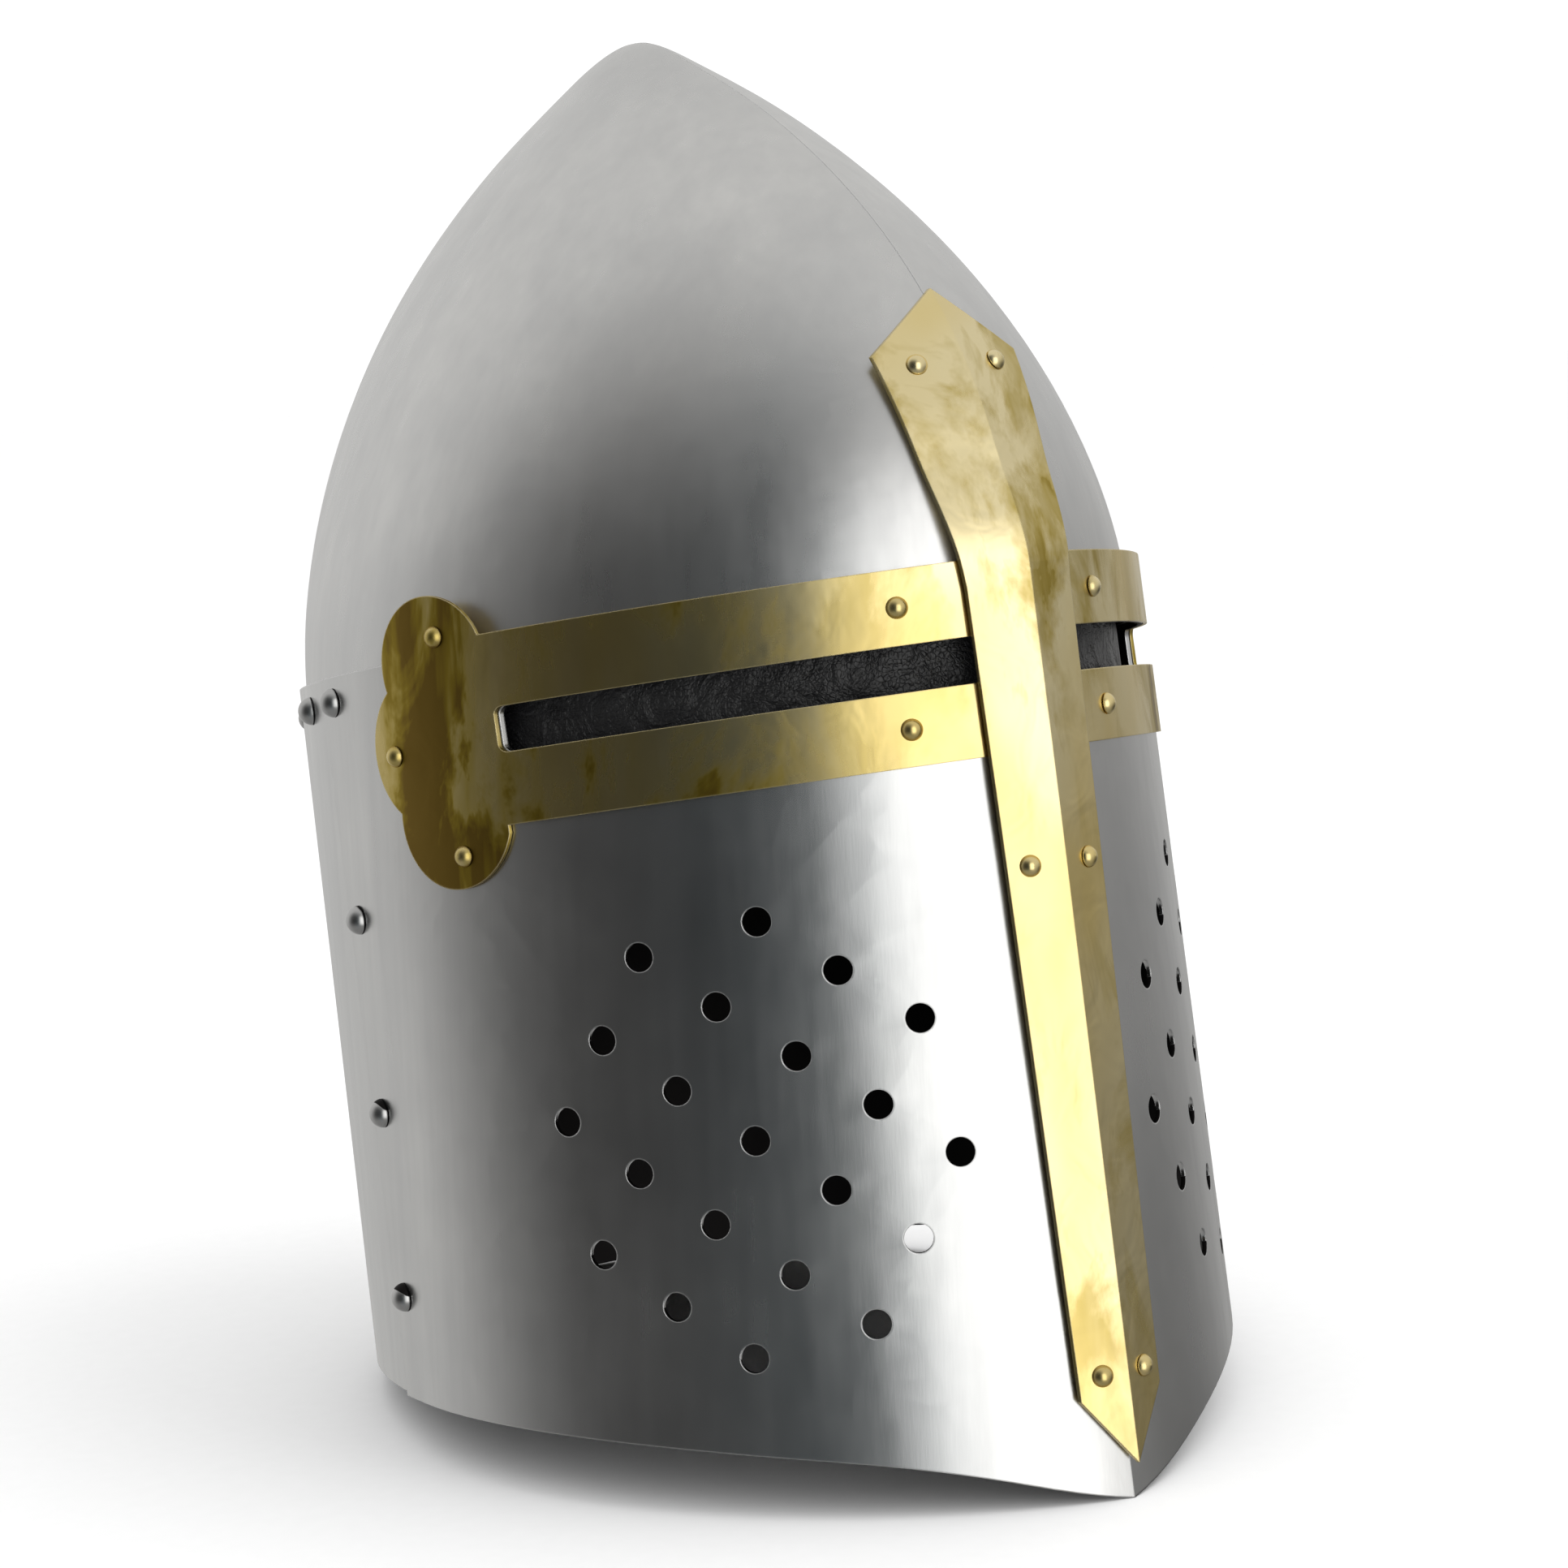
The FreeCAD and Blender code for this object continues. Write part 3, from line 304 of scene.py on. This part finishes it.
liner_dark = (0.008, 0.008, 0.009, 1.0)
liner_light = (0.022, 0.022, 0.023, 1.0)
strap_dark = (0.030, 0.014, 0.007, 1.0)
strap_light = (0.110, 0.055, 0.026, 1.0)
lace_dark = (0.060, 0.034, 0.018, 1.0)
lace_light = (0.150, 0.090, 0.050, 1.0)
liner_leather = make_leather("liner_leather", liner_dark, liner_light, 900.0, 0.0022, 0.30)
strap_leather = make_leather("strap_leather", strap_dark, strap_light, 800.0, 0.0004, 0.36)
lace_leather = make_leather("lace_leather", lace_dark, lace_light, 1200.0, 0.0003, 0.5)
print("soft finishes", liner_leather.name, strap_leather.name, lace_leather.name)

# %% [markdown]
# ## Finish on the metal parts
# Each metal part keeps the mesh it came with, so only its material slot changes.

# %% Paint the metal
finish = {
    "face_plate": plate_steel, "back_plate": plate_steel,
    "skull_right_half": skull_steel, "skull_left_half": skull_steel,
    "side_seam_rivets": rivet_steel, "back_seam_rivets": rivet_steel,
    "keel_bar": bar_brass, "sight_frame_right": strap_brass, "sight_frame_left": strap_brass,
    "keel_bar_rivets": rivet_brass, "sight_strap_rivets": rivet_brass, "trefoil_rivets": rivet_brass,
    "chin_hanger_right": rivet_steel, "chin_hanger_left": rivet_steel,
    "buckle_frame": rivet_steel, "buckle_prong": rivet_steel,
}
for name, material in finish.items():
    for slot in nodes[name].material_slots:
        slot.material = material
print("painted", len(finish), "metal parts")

# %% [markdown]
# ## Leather pieces
# Leather has no sharp corners: its cut edges are rubbed round and its faces are never quite flat. Modelling
# each tongue and strap again would repeat the frame's shapes, so each starts from a merged copy of its part.
# A voxel remesh gives it even faces, smoothing rounds the edges, and a slow noise moves the faces a little.

# %% Soft copy helper
weld_distance = 0.00002
sway_size = 0.018


def soft_copy(source, name, material, body, voxel, ratio, sway, slot):
    """A rounded leather copy of one part; voxel and sway in metres, ratio is the share of faces kept."""
    mesh = nodes[source].data.copy()
    mesh.name = name
    shape = bmesh.new()
    shape.from_mesh(mesh)
    bmesh.ops.remove_doubles(shape, verts=shape.verts, dist=weld_distance)
    shape.to_mesh(mesh)
    shape.free()
    piece = bpy.data.objects.new(name, mesh)
    bpy.context.scene.collection.objects.link(piece)
    remesh = piece.modifiers.new("even", "REMESH")
    remesh.mode = "VOXEL"
    remesh.voxel_size = voxel
    smooth = piece.modifiers.new("rub", "SMOOTH")
    smooth.factor = 0.5
    smooth.iterations = 4
    cloud = bpy.data.textures.new(name + "_sway", "CLOUDS")
    cloud.noise_scale = sway_size
    move = piece.modifiers.new("sway", "DISPLACE")
    move.texture = cloud
    move.strength = sway
    move.mid_level = 0.5
    thin = piece.modifiers.new("thin", "DECIMATE")
    thin.ratio = ratio
    bpy.context.view_layer.update()
    graph = bpy.context.evaluated_depsgraph_get()
    done = bpy.data.meshes.new_from_object(piece.evaluated_get(graph))
    piece.modifiers.clear()
    piece.data = done
    done.materials.clear()
    done.materials.append(material)
    for face in done.polygons:
        face.use_smooth = True
    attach(piece, body)
    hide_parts(source)
    print(name, len(done.polygons), "faces")


# %% [markdown]
# ## Liner
# The head band and its tongues are one weight of leather, so they share a voxel size. The lace is thinner and
# needs a finer one to stay round.

# %% Liner
tongues_each_side = 4
band_grain = (0.0008, 0.35)
soft_copy("liner_headband", "headband_leather", liner_leather, "helm", *band_grain, 0.0004, "liner_leather")
for side in ("right", "left"):
    for count in range(1, tongues_each_side + 1):
        source = "liner_tongue_%s_%d" % (side, count)
        name = "tongue_leather_%s_%d" % (side, count)
        soft_copy(source, name, liner_leather, "helm", *band_grain, 0.0006, "liner_leather")
soft_copy("liner_lace", "crown_lace", lace_leather, "helm", 0.0005, 0.6, 0.0003, "lace")

# %% [markdown]
# ## Chin strap
# Each strap half rides the body that swings it, and the keeper rides the short half. They sway very little,
# so that they stay clear of the buckle and the hangers.

# %% Chin strap
for source, name, body, voxel, sway in (
    ("chin_strap_short", "short_strap_leather", "short_strap", 0.0005, 0.0001),
    ("chin_strap_long", "long_strap_leather", "long_strap", 0.0005, 0.0001),
    ("strap_keeper", "keeper_leather", "short_strap", 0.0004, 0.00005),
):
    soft_copy(source, name, strap_leather, body, voxel, 0.5, sway, "strap_leather")

# %% [markdown]
# ## Studio
# Polished metal has no colour of its own to speak of: it shows the room. The room is a light tent, pale all
# round, with a tall bright panel nearly straight ahead of the face, a black flag on the wearer's right and a
# softer one low on the left. Lamps and cards would cast hard shapes, so the world holds the tent for
# reflections, and plain white light for everything else. The floor is left out of reflections, so the tent
# also decides what the walls show low down.

# %% Tent
world = bpy.data.worlds.new("light_tent")
bpy.context.scene.world = world
world.use_nodes = True
tree = world.node_tree
tree.nodes.clear()
direction = node(tree, "ShaderNodeTexCoord", out="Generated")
split = tree.nodes.new("ShaderNodeSeparateXYZ")
tree.links.new(direction, split.inputs[0])
ahead = math_node(tree, "MULTIPLY", split.outputs["Y"], -1.0)
in_degrees = 180 / math.pi
azimuth = math_node(tree, "MULTIPLY", math_node(tree, "ARCTAN2", split.outputs["X"], ahead), in_degrees)
height = math_node(tree, "MULTIPLY", math_node(tree, "ARCSINE", split.outputs["Z"]), in_degrees)


def panel(at, wide, rise, tall, power):
    """1 at the middle of a panel and falling off softly to 0; angles in degrees."""
    across = math_node(tree, "DIVIDE", math_node(tree, "SUBTRACT", azimuth, at), wide)
    upward = math_node(tree, "DIVIDE", math_node(tree, "SUBTRACT", height, rise), tall)
    far = [math_node(tree, "POWER", math_node(tree, "ABSOLUTE", v), power) for v in (across, upward)]
    return math_node(tree, "EXPONENT", math_node(tree, "MULTIPLY", math_node(tree, "ADD", *far), -1.0))


flag = math_node(tree, "MULTIPLY", panel(-72.0, 53.0, 11.0, 52.0, 3.5), 0.95)
glow = math_node(tree, "MULTIPLY", math_node(tree, "SUBTRACT", 1.0, flag), 0.69)
side_flag = math_node(tree, "MULTIPLY", panel(82.0, 44.0, -24.0, 32.0, 2.0), 0.86)
right_flag = math_node(tree, "SUBTRACT", 1.0, side_flag)
glow = math_node(tree, "MULTIPLY", glow, right_flag)
low_flag = span(tree, height, 5.0, -60.0, 1.0, 0.45)
glow = math_node(tree, "MULTIPLY", glow, low_flag)
glow = math_node(tree, "ADD", glow, math_node(tree, "MULTIPLY", panel(-13.0, 21.0, 4.0, 32.0, 5.5), 1.30))
cool_side = panel(-54.0, 18.0, 0.0, 45.0, 2.0)
tint = blend_colour(tree, cool_side, (1.0, 0.995, 0.98, 1.0), (0.86, 0.99, 1.05, 1.0))
tent = node(tree, "ShaderNodeBackground", {"Strength": glow, "Color": tint})
white = node(tree, "ShaderNodeBackground", {"Strength": 1.12, "Color": (1.0, 1.0, 1.0, 1.0)})
mirror_ray = node(tree, "ShaderNodeLightPath", out="Is Glossy Ray")
room = node(tree, "ShaderNodeMixShader", {0: mirror_ray, 1: white, 2: tent})
exit_node = tree.nodes.new("ShaderNodeOutputWorld")
tree.links.new(room, exit_node.inputs["Surface"])
print("tent of", len(tree.nodes), "nodes")

# %% [markdown]
# ## Floor and lamp
# The floor is a wide pale disc, so the helm stands on something and leaves a soft shadow. One large lamp over
# the wearer's left shoulder gives the shadow its direction without marking the metal.

# %% Floor
floor_shape = bmesh.new()
bmesh.ops.create_circle(floor_shape, cap_ends=True, segments=128, radius=12.0)
floor_mesh = bpy.data.meshes.new("floor")
floor_shape.to_mesh(floor_mesh)
floor_shape.free()
floor = bpy.data.objects.new("floor", floor_mesh)
bpy.context.scene.collection.objects.link(floor)
paper, tree, shader = new_material("floor_paper")
place = node(tree, "ShaderNodeTexCoord", out="Object")
fibre = noise(tree, place, 220.0, 4.0)
tree.links.new(blend_colour(tree, fibre, grey(0.90), grey(0.93)), shader.inputs["Base Color"])
shader.inputs["Roughness"].default_value = 0.9
shader.inputs["Specular IOR Level"].default_value = 0.1
floor_mesh.materials.append(paper)
floor.visible_glossy = False

lamp_data = bpy.data.lights.new("overhead_box", "AREA")
lamp_data.shape = "DISK"
lamp_data.size = 1.6
lamp_data.energy = 14.0
lamp = bpy.data.objects.new("overhead_box", lamp_data)
lamp.location = (0.9, -0.9, 2.0)
lamp.rotation_mode = "QUATERNION"
lamp.rotation_quaternion = (-Vector(lamp.location)).to_track_quat("-Z", "Y")
lamp.visible_glossy = False
bpy.context.scene.collection.objects.link(lamp)
print("lamp at", tuple(lamp.location))

# %% [markdown]
# ## Camera
# The view is from the wearer's right front, a little above the rim and slightly rolled, through a long lens.

# %% Camera
view_right = Vector((0.82919, -0.55644, -0.05306))
view_up = Vector((0.11928, 0.08342, 0.98935))
view_back = Vector((-0.54609, -0.82669, 0.13554))
camera_data = bpy.data.cameras.new("camera")
camera_data.sensor_width = 36.0
camera_data.lens = 78.26
camera_data.clip_start = 0.01
camera = bpy.data.objects.new("camera", camera_data)
bpy.context.scene.collection.objects.link(camera)
turn = Matrix((view_right, view_up, view_back)).transposed()
camera.rotation_mode = "QUATERNION"
camera.rotation_quaternion = turn.to_quaternion()
camera.location = (-0.46293, -0.70969, 0.26577)
bpy.context.scene.camera = camera
bpy.context.scene.view_settings.view_transform = "Standard"
print("camera", tuple(camera.location), "lens", camera_data.lens)
